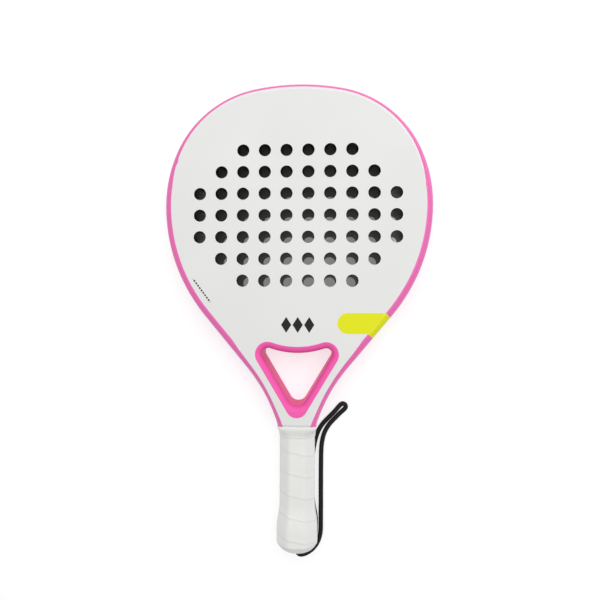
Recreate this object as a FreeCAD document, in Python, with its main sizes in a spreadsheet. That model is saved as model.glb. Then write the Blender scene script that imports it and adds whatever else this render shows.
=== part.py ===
import FreeCAD, Part
import math
import os

import Sketcher

# A padel racket lying on its back. X runs across the face, Y from the butt to the crown
# of the head, Z out of the front face. The origin is under the middle of the racket, on
# the plane it rests on. All lengths are millimetres, all angles degrees.

Vector = FreeCAD.Vector
doc = FreeCAD.newDocument("padel_racket")

# ---------------------------------------------------------------- driving dimensions
DIMENSIONS = {
    "racket_length": 455.0,
    "head_width": 260.0,
    "thickness": 38.0,
    # outline of the head, as tangent arcs from the crown to the handle
    "crown_to_widest": 117.55,
    "crown_radius": 223.0,
    "shoulder_radius": 105.5,
    "upper_cheek_radius": 131.0,
    "lower_cheek_radius": 168.5,
    "crown_to_neck_arc": 378.5,
    "neck_radius": 159.5,
    "neck_half_width": 11.3,
    # frame tube
    "tube_width": 14.75,
    "tube_wall": 3.0,
    "edge_radius": 7.0,
    "face_inset": 7.0,
    "face_thickness": 1.2,
    "crown_to_face_end": 329.5,
    "crown_to_neck_end": 333.5,
    "neck_taper": 1.8,
    # heart of the throat: a triangle with round corners
    "crown_to_lobe": 262.8,
    "lobe_offset": 27.9,
    "lobe_radius": 12.1,
    "rim_side_angle": 31.0,
    "rim_apex_radius": 10.4,
    "rim_top_radius": 73.0,
    "rim_width": 6.3,
    "opening_apex_radius": 9.0,
    "rim_rounding": 6.0,
    "crown_to_bridge": 229.5,
    "bridge_wall": 2.0,
    # perforation of the hitting face
    "hole_diameter": 12.0,
    "hole_pitch": 21.0,
    "crown_to_hole_grid": 129.3,
    # handle
    "grip_width": 34.5,
    "grip_thickness": 30.0,
    "grip_bevel": 9.5,
    "overgrip_thickness": 0.8,
    "base_grip_thickness": 1.6,
    "grip_gap": 1.0,
    "butt_to_flare_start": 44.0,
    "butt_to_flare_end": 21.5,
    "flare_growth": 2.65,
    "butt_to_grip_end": 8.5,
    "pallet_step": 1.2,
    "pallet_wall": 0.95,
    "butt_to_pallet_end": 13.8,
    "tail_half_height": 6.5,
    "tail_wall": 2.0,
    "tail_gap": 0.5,
    "tail_recess": 0.7,
    "plug_length": 12.0,
    "fit_clearance": 0.15,
    "tape_over_neck": 2.0,
    "tape_over_grip": 9.5,
    "tape_thickness": 0.4,
    "tape_neck_bevel": 2.2,
    "cap_corner_radius": 11.0,
    "cap_end_wall": 3.5,
    "knot_room_radius": 8.0,
    "cord_hole_radius": 5.6,
    # wrist cord
    "cord_diameter": 4.8,
    "knot_radius": 6.5,
    "knot_length": 8.0,
}

sheet = doc.addObject("Spreadsheet::Sheet", "Dims")
for line, (name, number) in enumerate(DIMENSIONS.items(), start=1):
    sheet.set(f"A{line}", name)
    sheet.set(f"B{line}", str(number))
    sheet.setAlias(f"B{line}", name)
doc.recompute()


def size(name):
    """Value of one driving dimension."""
    return float(sheet.get(name))


# Places along Y and fitted sizes, as expressions of the driving dimensions.
CROWN_RULE = "Dims.racket_length / 2"
WIDEST = f"({CROWN_RULE} - Dims.crown_to_widest)"
NECK_ARC = f"({CROWN_RULE} - Dims.crown_to_neck_arc)"
LOBE_HEIGHT = f"({CROWN_RULE} - Dims.crown_to_lobe)"
BRIDGE_TOP = f"({CROWN_RULE} - Dims.crown_to_bridge)"
HOLE_GRID = f"({CROWN_RULE} - Dims.crown_to_hole_grid)"
FACE_END = f"({CROWN_RULE} - Dims.crown_to_face_end)"
NECK_END = f"({CROWN_RULE} - Dims.crown_to_neck_end)"
TAPE_TOP = f"({NECK_END} + Dims.tape_over_neck)"
TAPE_BOTTOM = f"({NECK_END} - Dims.tape_over_grip)"
FLARE_START = f"(Dims.butt_to_flare_start - {CROWN_RULE})"
FLARE_END = f"(Dims.butt_to_flare_end - {CROWN_RULE})"
GRIP_END = f"(Dims.butt_to_grip_end - {CROWN_RULE})"
PALLET_END = f"(Dims.butt_to_pallet_end - {CROWN_RULE})"
TAIL_END = f"({PALLET_END} + Dims.tail_recess)"
GRIP_LAYERS = "(Dims.overgrip_thickness + Dims.base_grip_thickness)"
# the tails fill the pallets up to a wall behind the bevels, where the octagon is tightest
TAIL_HALF_WIDTH = (
    "(Dims.grip_width / 2 + Dims.grip_thickness / 2 - Dims.grip_bevel"
    f" - sqrt(2) * ({GRIP_LAYERS} + Dims.pallet_step + Dims.pallet_wall)"
    " - Dims.tail_half_height - 2 * Dims.fit_clearance)"
)
# half width and half height of the neck where the finishing tape starts
NECK_HALF_WIDTH = (
    "(Dims.neck_half_width + Dims.neck_radius"
    f" - sqrt(Dims.neck_radius ^ 2 - ({TAPE_TOP} - {NECK_ARC}) ^ 2))"
)
NECK_HALF_HEIGHT = (
    "(Dims.thickness / 2 - Dims.neck_taper"
    f" * ({FACE_END} - {TAPE_TOP}) / ({FACE_END} - {NECK_END}))"
)

BUTT = -size("racket_length") / 2
CROWN = size("racket_length") / 2
MIDDLE = size("thickness") / 2
HOLE_ROWS = (6, 8, 10, 10, 10, 8, 6)


# ---------------------------------------------------------------- sketch helpers
def new_body(label):
    body = doc.addObject("PartDesign::Body", label)
    body.Label = label
    return body


def new_sketch(body, name, plane, offset="0"):
    """Sketch on one of the body's own origin planes, moved along its normal."""
    sketch = body.newObject("Sketcher::SketchObject", name)
    origin_plane = [f for f in body.Origin.OriginFeatures if f.Role == plane][0]
    sketch.AttachmentSupport = [(origin_plane, "")]
    sketch.MapMode = "FlatFace"
    sketch.setExpression("AttachmentOffset.Base.z", offset)
    return sketch


def sheet_value(rule):
    """Number that an expression on the sheet gives."""
    return float(sheet.evalExpression(rule.replace("Dims.", "")))


def draw(sketch, edges):
    """Draw a closed run of lines and arcs, each end joined to the next start."""
    first = sketch.GeometryCount
    ends = []
    for edge in edges:
        if edge[0] == "line":
            _kind, start, end = edge
            sketch.addGeometry(Part.LineSegment(Vector(*start), Vector(*end)))
            ends.append((1, 2))
            continue
        _kind, centre, radius, begin, finish, rule = edge
        low, high = sorted((math.radians(begin), math.radians(finish)))
        circle = Part.Circle(Vector(*centre), Vector(0, 0, 1), radius)
        index = sketch.addGeometry(Part.ArcOfCircle(circle, low, high))
        number = sketch.addConstraint(Sketcher.Constraint("Radius", index, radius))
        sketch.setExpression(f"Constraints[{number}]", rule)
        ends.append((1, 2) if begin < finish else (2, 1))
    for step, (_entry, leave) in enumerate(ends):
        following = (step + 1) % len(ends)
        entry = ends[following][0]
        joint = Sketcher.Constraint("Coincident", first + step, leave, first + following, entry)
        sketch.addConstraint(joint)


def draw_polygon(sketch, corners):
    """Draw a closed polygon whose corners are pairs of expressions."""
    points = [tuple(sheet_value(rule) for rule in corner) for corner in corners]
    first = sketch.GeometryCount
    for index, point in enumerate(points):
        following = points[(index + 1) % len(points)]
        sketch.addGeometry(Part.LineSegment(Vector(*point), Vector(*following)))
    for index, corner in enumerate(corners):
        following = (index + 1) % len(corners)
        joint = Sketcher.Constraint("Coincident", first + index, 2, first + following, 1)
        sketch.addConstraint(joint)
        for kind, rule, number in zip(("DistanceX", "DistanceY"), corner, points[index]):
            place = Sketcher.Constraint(kind, -1, 1, first + index, 1, number)
            placed = sketch.addConstraint(place)
            sketch.setExpression(f"Constraints[{placed}]", rule)


def draw_circles(sketch, centres, rule):
    for centre in centres:
        circle = Part.Circle(Vector(*centre), Vector(0, 0, 1), sheet_value(rule))
        index = sketch.addGeometry(circle)
        number = sketch.addConstraint(Sketcher.Constraint("Radius", index, circle.Radius))
        sketch.setExpression(f"Constraints[{number}]", rule)


# ---------------------------------------------------------------- feature helpers
def pad(body, sketch, rule):
    feature = body.newObject("PartDesign::Pad", "Pad")
    feature.Profile = sketch
    feature.setExpression("Length", rule)
    doc.recompute()
    return feature


def pocket(body, sketch, rule=None, reverse=True):
    """Cut along the sketch's normal by a length, or both ways through all."""
    feature = body.newObject("PartDesign::Pocket", "Pocket")
    feature.Profile = sketch
    before = body.Shape.Volume
    if rule is None:
        feature.Type = "ThroughAll"
        feature.SideType = "Symmetric"
    else:
        feature.setExpression("Length", rule)
        feature.Reversed = reverse
    doc.recompute()
    if feature.Shape.Volume > before - 1e-3:
        raise RuntimeError(f"{body.Label}: a pocket cut nothing")
    return feature


def loft(body, sketches, kind="PartDesign::AdditiveLoft"):
    feature = body.newObject(kind, "Loft")
    feature.Profile = sketches[0]
    feature.Sections = sketches[1:]
    feature.Ruled = True
    doc.recompute()
    return feature


# ---------------------------------------------------------------- outlines
def polar(centre, radius, angle):
    turn = math.radians(angle)
    return (centre[0] + radius * math.cos(turn), centre[1] + radius * math.sin(turn))


def direction(start, end):
    return math.degrees(math.atan2(end[1] - start[1], end[0] - start[0]))


def mirrored(half):
    """The same edges on the other side of the Y axis, run the other way."""
    edges = []
    for edge in reversed(half):
        if edge[0] == "line":
            _kind, start, end = edge
            edges.append(("line", (-end[0], end[1]), (-start[0], start[1])))
        else:
            _kind, centre, radius, begin, finish, rule = edge
            edges.append(("arc", (-centre[0], centre[1]), radius, 180 - finish, 180 - begin, rule))
    return edges


def head_centres():
    """Centres of the arcs of the head's right half: crown, shoulder, upper and lower cheek."""
    half = size("head_width") / 2
    crown = (0.0, CROWN - size("crown_radius"))
    upper = (half - size("upper_cheek_radius"), sheet_value(WIDEST))
    lower = (half - size("lower_cheek_radius"), sheet_value(WIDEST))
    # the shoulder arc touches the crown arc and the upper cheek arc from inside
    to_crown = size("crown_radius") - size("shoulder_radius")
    to_cheek = size("upper_cheek_radius") - size("shoulder_radius")
    span = math.dist(crown, upper)
    along = (to_crown**2 - to_cheek**2 + span**2) / (2 * span)
    aside = math.sqrt(to_crown**2 - along**2)
    tilt = math.radians(direction(crown, upper))
    choices = []
    for side in (aside, -aside):
        x = crown[0] + along * math.cos(tilt) - side * math.sin(tilt)
        y = crown[1] + along * math.sin(tilt) + side * math.cos(tilt)
        choices.append((x, y))
    return crown, max(choices), upper, lower


def neck_centre():
    """Centre of the hollow arc that leads the straight flank into the neck."""
    return (size("neck_half_width") + size("neck_radius"), sheet_value(NECK_ARC))


def flank_direction():
    """Angle at which the lower cheek arc ends, so that the flank touches the neck arc."""
    lower, hollow = head_centres()[3], neck_centre()
    reach = size("lower_cheek_radius") + size("neck_radius")
    return direction(lower, hollow) + math.degrees(math.acos(reach / math.dist(lower, hollow)))


def outline(rule, bottom_rule):
    """Racket outline moved inwards by an inset and closed by a straight line at the bottom."""
    inset = sheet_value(rule)
    bottom = sheet_value(bottom_rule)
    crown, shoulder, upper, lower = head_centres()
    hollow = neck_centre()
    flank = flank_direction()
    crown_end = direction(crown, shoulder)
    cheek_start = direction(upper, shoulder)
    neck_size = size("neck_radius") + inset
    leave_cheek = polar(lower, size("lower_cheek_radius") - inset, flank)
    enter_neck = polar(hollow, neck_size, 180 + flank)
    half = []
    arcs = (
        (crown, "crown_radius", 90, crown_end),
        (shoulder, "shoulder_radius", crown_end, cheek_start),
        (upper, "upper_cheek_radius", cheek_start, 0),
        (lower, "lower_cheek_radius", 0, flank),
    )
    for centre, name, begin, finish in arcs:
        half.append(("arc", centre, size(name) - inset, begin, finish, f"Dims.{name} - {rule}"))
    if bottom < enter_neck[1]:
        half.append(("line", leave_cheek, enter_neck))
        stop = 180 - math.degrees(math.asin((bottom - hollow[1]) / neck_size))
        half.append(("arc", hollow, neck_size, 180 + flank, stop, f"Dims.neck_radius + {rule}"))
        last = polar(hollow, neck_size, stop)
    else:
        share = (leave_cheek[1] - bottom) / (leave_cheek[1] - enter_neck[1])
        last = (leave_cheek[0] + share * (enter_neck[0] - leave_cheek[0]), bottom)
        half.append(("line", leave_cheek, last))
    return half + [("line", last, (-last[0], last[1]))] + mirrored(half)


def heart(rule, apex_rule):
    """Round-cornered triangle of the throat, moved inwards by an inset."""
    inset = sheet_value(rule)
    apex_size = sheet_value(apex_rule)
    lobe = (size("lobe_offset"), sheet_value(LOBE_HEIGHT))
    lobe_size = size("lobe_radius") - inset
    slope = -size("rim_side_angle")
    lean = math.radians(slope)
    # the apex arc touches both straight sides, the top arc both lobes
    side = lobe[0] * math.cos(lean) + lobe[1] * math.sin(lean) + lobe_size
    apex = (0.0, (side - apex_size) / math.sin(lean))
    dip_size = size("rim_top_radius") + inset
    dip = (0.0, lobe[1] + math.sqrt((dip_size + lobe_size) ** 2 - lobe[0] ** 2))
    half = [
        ("arc", dip, dip_size, -90, direction(dip, lobe), f"Dims.rim_top_radius + {rule}"),
        ("arc", lobe, lobe_size, direction(lobe, dip), slope, f"Dims.lobe_radius - {rule}"),
        ("line", polar(lobe, lobe_size, slope), polar(apex, apex_size, slope)),
        ("arc", apex, apex_size, slope, -90, apex_rule),
    ]
    return half + mirrored(half)


def hole_centres():
    """Centres of the holes, in rows that are symmetric about the middle row."""
    pitch = size("hole_pitch")
    top = sheet_value(HOLE_GRID) + pitch * (len(HOLE_ROWS) - 1) / 2
    centres = []
    for row, count in enumerate(HOLE_ROWS):
        for column in range(count):
            centres.append(((column - (count - 1) / 2) * pitch, top - row * pitch))
    return centres


def octagon(half_width, half_height, bevel):
    """Corners of an octagon about the handle's axis, as pairs of expressions."""
    corners = []
    for x_sign, z_sign, steep in (
        (1, 1, True), (1, 1, False), (1, -1, False), (1, -1, True),
        (-1, -1, True), (-1, -1, False), (-1, 1, False), (-1, 1, True),
    ):
        across = f"({half_width} - {bevel})" if steep else f"({half_width})"
        above = f"({half_height})" if steep else f"({half_height} - {bevel})"
        corners.append((f"{x_sign} * {across}", f"Dims.thickness / 2 + {z_sign} * {above}"))
    return corners


def handle_section(body, name, height, inset, bevel="Dims.grip_bevel"):
    """Octagon of the handle at a height along Y, moved inwards from the grip by an inset."""
    sketch = new_sketch(body, name, "XZ_Plane", f"-({height})")
    # moving an octagon's sides inwards by a distance shortens each bevel by 2 - sqrt(2) of it
    corners = octagon(
        f"Dims.grip_width / 2 - ({inset})",
        f"Dims.grip_thickness / 2 - ({inset})",
        f"({bevel} - (2 - sqrt(2)) * ({inset}))",
    )
    draw_polygon(sketch, corners)
    return sketch


def box_corners(left, right, low, high):
    return [(left, low), (right, low), (right, high), (left, high)]


# ---------------------------------------------------------------- head and throat
def make_frame_tube():
    """Carbon tube that runs round the head and ends in two tails inside the handle."""
    shell = new_body("frame_shell")
    plan = new_sketch(shell, "FramePlan", "XY_Plane")
    draw(plan, outline("0", NECK_END))
    solid = pad(shell, plan, "Dims.thickness")
    rims = []
    for number, edge in enumerate(solid.Shape.Edges, start=1):
        box = edge.BoundBox
        flat = box.ZLength < 0.01
        cut_end = box.YLength < 0.01
        if flat and not cut_end:
            rims.append(f"Edge{number}")
    rounding = shell.newObject("PartDesign::Fillet", "Rounding")
    rounding.Base = (solid, rims)
    rounding.setExpression("Radius", "Dims.edge_radius")
    doc.recompute()
    tails = new_sketch(shell, "TailSections", "XZ_Plane", f"-{NECK_END}")
    low = "Dims.thickness / 2 - Dims.tail_half_height"
    high = "Dims.thickness / 2 + Dims.tail_half_height"
    draw_polygon(tails, box_corners("Dims.tail_gap", TAIL_HALF_WIDTH, low, high))
    draw_polygon(tails, box_corners(f"-{TAIL_HALF_WIDTH}", "-Dims.tail_gap", low, high))
    pad(shell, tails, f"{NECK_END} - {TAIL_END}")
    inner = new_sketch(shell, "HeadOpening", "XY_Plane")
    draw(inner, outline("Dims.tube_width", LOBE_HEIGHT))
    pocket(shell, inner)
    throat = new_sketch(shell, "ThroatOpening", "XY_Plane")
    draw(throat, heart("0", "Dims.rim_apex_radius"))
    pocket(shell, throat)
    for name, level in (("BackSeat", "0"), ("FrontSeat", "Dims.thickness - Dims.face_thickness")):
        seat = new_sketch(shell, name, "XY_Plane", level)
        draw(seat, outline("Dims.face_inset", FACE_END))
        pocket(shell, seat, "Dims.face_thickness")
    taper = new_sketch(shell, "NeckTaper", "YZ_Plane")
    draw_polygon(taper, [
        (FACE_END, "Dims.thickness"),
        (NECK_END, "Dims.thickness - Dims.neck_taper"),
        (NECK_END, "Dims.thickness"),
    ])
    draw_polygon(taper, [
        (FACE_END, "0 * Dims.thickness"),
        (NECK_END, "0 * Dims.thickness"),
        (NECK_END, "Dims.neck_taper"),
    ])
    pocket(shell, taper)

    hollow = new_body("tube_hollow")
    plan = new_sketch(hollow, "HollowPlan", "XY_Plane", "Dims.tube_wall")
    draw(plan, outline("Dims.tube_wall", f"{NECK_END} + Dims.tube_wall"))
    pad(hollow, plan, "Dims.thickness - 2 * Dims.tube_wall")
    inner = new_sketch(hollow, "InnerWall", "XY_Plane")
    draw(inner, outline("(Dims.tube_width - Dims.tube_wall)", LOBE_HEIGHT))
    pocket(hollow, inner)
    throat = new_sketch(hollow, "ThroatWall", "XY_Plane")
    draw(throat, heart("(-Dims.tube_wall)", "(Dims.rim_apex_radius + Dims.tube_wall)"))
    pocket(hollow, throat)
    divider = new_sketch(hollow, "Divider", "XY_Plane")
    reach = "(Dims.tail_gap + Dims.tail_wall)"
    draw_polygon(divider, box_corners(f"-{reach}", reach, NECK_END, LOBE_HEIGHT))
    pocket(hollow, divider)
    runs = new_sketch(hollow, "TailHollows", "XZ_Plane", f"-({FACE_END})")
    outer = f"({TAIL_HALF_WIDTH} - Dims.tail_wall)"
    low = "Dims.thickness / 2 - Dims.tail_half_height + Dims.tail_wall"
    high = "Dims.thickness / 2 + Dims.tail_half_height - Dims.tail_wall"
    draw_polygon(runs, box_corners(reach, outer, low, high))
    draw_polygon(runs, box_corners(f"-{outer}", f"-{reach}", low, high))
    pad(hollow, runs, f"{FACE_END} - {TAIL_END} + Dims.tail_wall")

    tube = doc.addObject("Part::Cut", "frame_tube")
    tube.Base = shell
    tube.Tool = hollow
    tube.Label = "frame_tube"
    return [tube]


def make_bridge():
    """Hollow moulded bridge that closes the head above the throat, and its foam filling."""
    pieces = []
    for label, wall in (("throat_bridge", "0"), ("bridge_foam", "Dims.bridge_wall")):
        body = new_body(label)
        level = f"Dims.face_thickness + {wall}"
        plan = new_sketch(body, "BridgePlan", "XY_Plane", level)
        draw(plan, outline(f"(Dims.tube_width + {wall})", f"{LOBE_HEIGHT} + {wall}"))
        pad(body, plan, f"Dims.thickness - 2 * (Dims.face_thickness + {wall})")
        above = new_sketch(body, "BridgeTop", "XY_Plane")
        half = "Dims.head_width / 2"
        draw_polygon(above, box_corners(f"-{half}", half, f"{BRIDGE_TOP} - {wall}",
                                        "Dims.racket_length / 2"))
        pocket(body, above)
        throat = new_sketch(body, "BridgeThroat", "XY_Plane")
        draw(throat, heart(f"(-{wall})", f"(Dims.rim_apex_radius + {wall})"))
        pocket(body, throat)
        pieces.append(body)
    outer, foam = pieces
    outer.Label = "bridge_block"
    shell = doc.addObject("Part::Cut", "throat_bridge_shell")
    shell.Base = outer
    shell.Tool = foam
    shell.Label = "throat_bridge"
    return [shell, foam]


def make_throat_rim():
    """Liner of the throat triangle, its inner edges rounded on both faces."""
    body = new_body("throat_rim")
    plan = new_sketch(body, "RimPlan", "XY_Plane")
    draw(plan, heart("0", "Dims.rim_apex_radius"))
    pad(body, plan, "Dims.thickness")
    opening = new_sketch(body, "RimOpening", "XY_Plane")
    draw(opening, heart("Dims.rim_width", "Dims.opening_apex_radius"))
    cut = pocket(body, opening)
    rims = []
    for number, edge in enumerate(cut.Shape.Edges, start=1):
        if edge.BoundBox.ZLength > 0.01:
            continue
        middle = edge.valueAt((edge.FirstParameter + edge.LastParameter) / 2)
        section = opening.Shape.distToShape(Part.Vertex(middle.x, middle.y, 0))[0]
        if section < 0.01:
            rims.append(f"Edge{number}")
    rounding = body.newObject("PartDesign::Fillet", "RimRounding")
    rounding.Base = (cut, rims)
    rounding.setExpression("Radius", "Dims.rim_rounding")
    doc.recompute()
    return [body]


def make_core_and_faces():
    """Foam core between two thin skins, all drilled with the same holes."""
    pieces = []
    skin = "Dims.face_thickness"
    layers = (
        ("foam_core", "Dims.tube_width", BRIDGE_TOP, skin, f"Dims.thickness - 2 * {skin}"),
        ("front_face", "Dims.face_inset", FACE_END, f"Dims.thickness - {skin}", skin),
        ("back_face", "Dims.face_inset", FACE_END, "0", skin),
    )
    for label, inset, bottom, level, height in layers:
        body = new_body(label)
        plan = new_sketch(body, "LayerPlan", "XY_Plane", level)
        draw(plan, outline(inset, bottom))
        pad(body, plan, height)
        if bottom == FACE_END:
            throat = new_sketch(body, "LayerThroat", "XY_Plane")
            draw(throat, heart("0", "Dims.rim_apex_radius"))
            pocket(body, throat)
        drilled = new_sketch(body, "Holes", "XY_Plane")
        draw_circles(drilled, hole_centres(), "Dims.hole_diameter / 2")
        pocket(body, drilled)
        pieces.append(body)
    return pieces


# ---------------------------------------------------------------- handle

def make_pallets():
    """Two foam half shells that give the handle its octagon and clamp the tails."""
    pieces = []
    top = f"{NECK_END} - Dims.fit_clearance"
    step = f"({GRIP_LAYERS} + Dims.pallet_step)"
    for label, sign in (("pallet_front", "-1"), ("pallet_back", "1")):
        body = new_body(label)
        upper = handle_section(body, "PalletSection", top, GRIP_LAYERS)
        pad(body, upper, f"{top} - {FLARE_START}")
        lower = handle_section(body, "PalletEndSection", FLARE_START, step)
        pad(body, lower, f"{FLARE_START} - {PALLET_END}")
        room = new_sketch(body, "TailRoom", "XZ_Plane")
        wide = f"({TAIL_HALF_WIDTH} + Dims.fit_clearance)"
        high = "(Dims.tail_half_height + Dims.fit_clearance)"
        draw_polygon(room, box_corners(f"-{wide}", wide, f"Dims.thickness / 2 - {high}",
                                       f"Dims.thickness / 2 + {high}"))
        pocket(body, room)
        other = new_sketch(body, "OtherHalf", "XZ_Plane")
        split = f"Dims.thickness / 2 - {sign} * Dims.fit_clearance / 2"
        away = f"Dims.thickness / 2 + {sign} * Dims.grip_thickness"
        draw_polygon(other, box_corners("-Dims.grip_width", "Dims.grip_width", split, away))
        pocket(body, other)
        pieces.append(body)
    return pieces


def make_tail_plugs():
    """Foam plugs that close the open ends of the two tails."""
    pieces = []
    inner = "(Dims.tail_gap + Dims.tail_wall + Dims.fit_clearance)"
    outer = f"({TAIL_HALF_WIDTH} - Dims.tail_wall - Dims.fit_clearance)"
    half = "(Dims.tail_half_height - Dims.tail_wall - Dims.fit_clearance)"
    for label, left, right in (
        ("tail_plug_left", f"-{outer}", f"-{inner}"),
        ("tail_plug_right", inner, outer),
    ):
        body = new_body(label)
        section = new_sketch(body, "PlugSection", "XZ_Plane",
                             f"-({TAIL_END} + Dims.plug_length)")
        draw_polygon(section, box_corners(left, right, f"Dims.thickness / 2 - {half}",
                                          f"Dims.thickness / 2 + {half}"))
        pad(body, section, "Dims.plug_length")
        pieces.append(body)
    return pieces


def sleeve(label, outside, inside, top):
    """Grip layer that follows the straight handle and the flare at its butt."""
    body = new_body(label)
    heights = (top, FLARE_START, FLARE_END, GRIP_END)
    for name, inset, kind in (
        ("Outside", outside, "PartDesign::AdditiveLoft"),
        ("Inside", inside, "PartDesign::SubtractiveLoft"),
    ):
        sketches = []
        for number, height in enumerate(heights):
            growth = "0 * Dims.flare_growth" if number < 2 else "Dims.flare_growth"
            section = handle_section(body, f"{name}{number}", height, f"{inset} - {growth}")
            sketches.append(section)
        loft(body, sketches, kind)
    return [body]


def make_grips():
    base = sleeve("base_grip", "Dims.overgrip_thickness", GRIP_LAYERS,
                  f"{NECK_END} - Dims.grip_gap")
    over = sleeve("overgrip", "0 * Dims.overgrip_thickness", "Dims.overgrip_thickness",
                  f"{NECK_END} - Dims.grip_gap")
    return base + over


def make_finishing_tape():
    """Tape that covers the step from the neck down to the top of the grip."""
    body = new_body("finishing_tape")
    neck = f"({NECK_HALF_WIDTH} + Dims.fit_clearance - Dims.grip_width / 2)"
    drop = f"({NECK_HALF_HEIGHT} + Dims.fit_clearance - Dims.grip_thickness / 2)"
    for name, thickness, kind in (
        ("Outside", "Dims.tape_thickness", "PartDesign::AdditiveLoft"),
        ("Inside", "0 * Dims.tape_thickness", "PartDesign::SubtractiveLoft"),
    ):
        sketches = []
        levels = (
            (TAPE_TOP, "1", "1"),
            (f"{NECK_END} - Dims.grip_gap / 2", "0.9", "0.82"),
            (TAPE_BOTTOM, "0", "0"),
        )
        for number, (height, wide, high) in enumerate(levels):
            sketch = new_sketch(body, f"{name}{number}", "XZ_Plane", f"-({height})")
            bevel = "Dims.tape_neck_bevel" if number < 2 else "Dims.grip_bevel"
            lift = f"({thickness} + Dims.fit_clearance / 3)"
            corners = octagon(
                f"Dims.grip_width / 2 + {wide} * {neck} + {lift}",
                f"Dims.grip_thickness / 2 + {high} * {drop} + {lift}",
                bevel,
            )
            draw_polygon(sketch, corners)
            sketches.append(sketch)
        loft(body, sketches, kind)
    return [body]


def make_butt_cap():
    """Plastic cup over the end of the pallets, flared to stop the hand slipping off."""
    body = new_body("butt_cap")
    sleeve_sections = [
        handle_section(body, "SleeveTop", FLARE_START, GRIP_LAYERS),
        handle_section(body, "SleeveFlare", FLARE_END,
                       f"{GRIP_LAYERS} - Dims.flare_growth"),
        handle_section(body, "SleeveEnd", GRIP_END, f"{GRIP_LAYERS} - Dims.flare_growth"),
    ]
    loft(body, sleeve_sections)
    # the end follows a quarter round of the corner radius, in flat steps
    corner = size("cap_corner_radius")
    depth = sheet_value(GRIP_END) - BUTT
    steps = 5
    rounded = []
    for step in range(steps + 1):
        ahead = depth * math.cos(math.radians(90 * step / steps))
        pulled = corner - math.sqrt(corner**2 - (corner - ahead) ** 2)
        section = handle_section(body, f"End{step}", f"-Dims.racket_length / 2 + {ahead}",
                                 f"{pulled} - Dims.flare_growth")
        rounded.append(section)
    loft(body, rounded)
    step = f"({GRIP_LAYERS} + Dims.pallet_step - Dims.fit_clearance)"
    socket = handle_section(body, "Socket", FLARE_START, step)
    pocket(body, socket, f"{FLARE_START} - {PALLET_END} + Dims.fit_clearance")
    middle = (0.0, MIDDLE)
    room = new_sketch(body, "KnotRoom", "XZ_Plane", f"-{PALLET_END}")
    draw_circles(room, [middle], "Dims.knot_room_radius")
    pocket(body, room, f"{PALLET_END} + Dims.racket_length / 2 - Dims.cap_end_wall")
    mouth = new_sketch(body, "CordHole", "XZ_Plane", f"-{PALLET_END}")
    draw_circles(mouth, [middle], "Dims.cord_hole_radius")
    pocket(body, mouth, f"{PALLET_END} + Dims.racket_length / 2")
    return [body]


# ---------------------------------------------------------------- wrist cord
CORD_LIFT = size("cord_diameter") / 2 + 0.05
CORD_ROUTE = [
    (0.0, BUTT, MIDDLE + 2.45),
    (0.8, -231.9, 20.9),
    (6.8, -233.9, 16.9),
    (13.9, -233.2, 10.6),
    (19.9, -228.9, 5.2),
    (23.2, -220.2, 2.7),
    (23.2, -206.5, CORD_LIFT),
    (23.3, -190.0, CORD_LIFT),
    (23.2, -170.0, CORD_LIFT),
    (23.3, -149.0, CORD_LIFT),
    (23.5, -131.5, CORD_LIFT),
    (25.9, -119.2, CORD_LIFT),
    (30.9, -110.3, CORD_LIFT),
    (36.6, -104.2, CORD_LIFT),
    (42.2, -98.4, CORD_LIFT),
    (45.4, -95.6, CORD_LIFT),
    (48.8, -92.3, CORD_LIFT),
    (47.8, -89.0, CORD_LIFT),
    (44.5, -88.2, CORD_LIFT),
    (41.0, -91.7, CORD_LIFT),
    (37.9, -95.7, CORD_LIFT),
    (31.6, -102.2, CORD_LIFT),
    (25.0, -108.8, CORD_LIFT),
    (20.3, -116.3, CORD_LIFT),
    (17.0, -126.5, CORD_LIFT),
    (14.6, -140.5, CORD_LIFT),
    (13.2, -157.0, CORD_LIFT),
    (13.9, -176.0, CORD_LIFT),
    (15.2, -190.8, CORD_LIFT),
    (17.9, -202.2, CORD_LIFT),
    (18.0, -212.0, CORD_LIFT),
    (17.8, -220.6, CORD_LIFT),
    (15.6, -226.9, 2.8),
    (11.4, -231.2, 6.0),
    (5.5, -232.9, 10.9),
    (0.6, -231.6, 15.9),
    (0.0, BUTT, MIDDLE - 2.45),
]


def make_wrist_cord():
    """Loop of round braid: straight runs of the route joined by tangent arcs."""
    points = [Vector(*place) for place in CORD_ROUTE]
    edges = []
    here = points[0]
    for before, corner, after in zip(points, points[1:], points[2:]):
        arriving = corner - before
        leaving = after - corner
        turn = arriving.getAngle(leaving)
        cut = 0.45 * min(arriving.Length, leaving.Length)
        radius = cut / math.tan(turn / 2)
        print(f"cord turn {math.degrees(turn):.0f} degrees, radius {radius:.1f}")
        arriving.normalize()
        leaving.normalize()
        start = corner - arriving * cut
        end = corner + leaving * cut
        inward = (leaving - arriving).normalize()
        centre = corner + inward * (radius / math.cos(turn / 2))
        middle = centre - inward * radius
        edges.append(Part.LineSegment(here, start).toShape())
        edges.append(Part.Arc(start, middle, end).toShape())
        here = end
    edges.append(Part.LineSegment(here, points[-1]).toShape())
    path = Part.Wire(edges)
    first = points[1] - points[0]
    section = Part.Wire(Part.makeCircle(size("cord_diameter") / 2, points[0], first))
    tube = path.makePipeShell([section], True, False)
    expected = math.pi * size("cord_diameter") ** 2 / 4 * path.Length
    print(f"cord length {path.Length:.1f}, volume {tube.Volume:.0f} of {expected:.0f}")
    cord = doc.addObject("Part::Feature", "wrist_cord")
    cord.Shape = tube
    cord.Label = "wrist_cord"
    return [cord]


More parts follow.
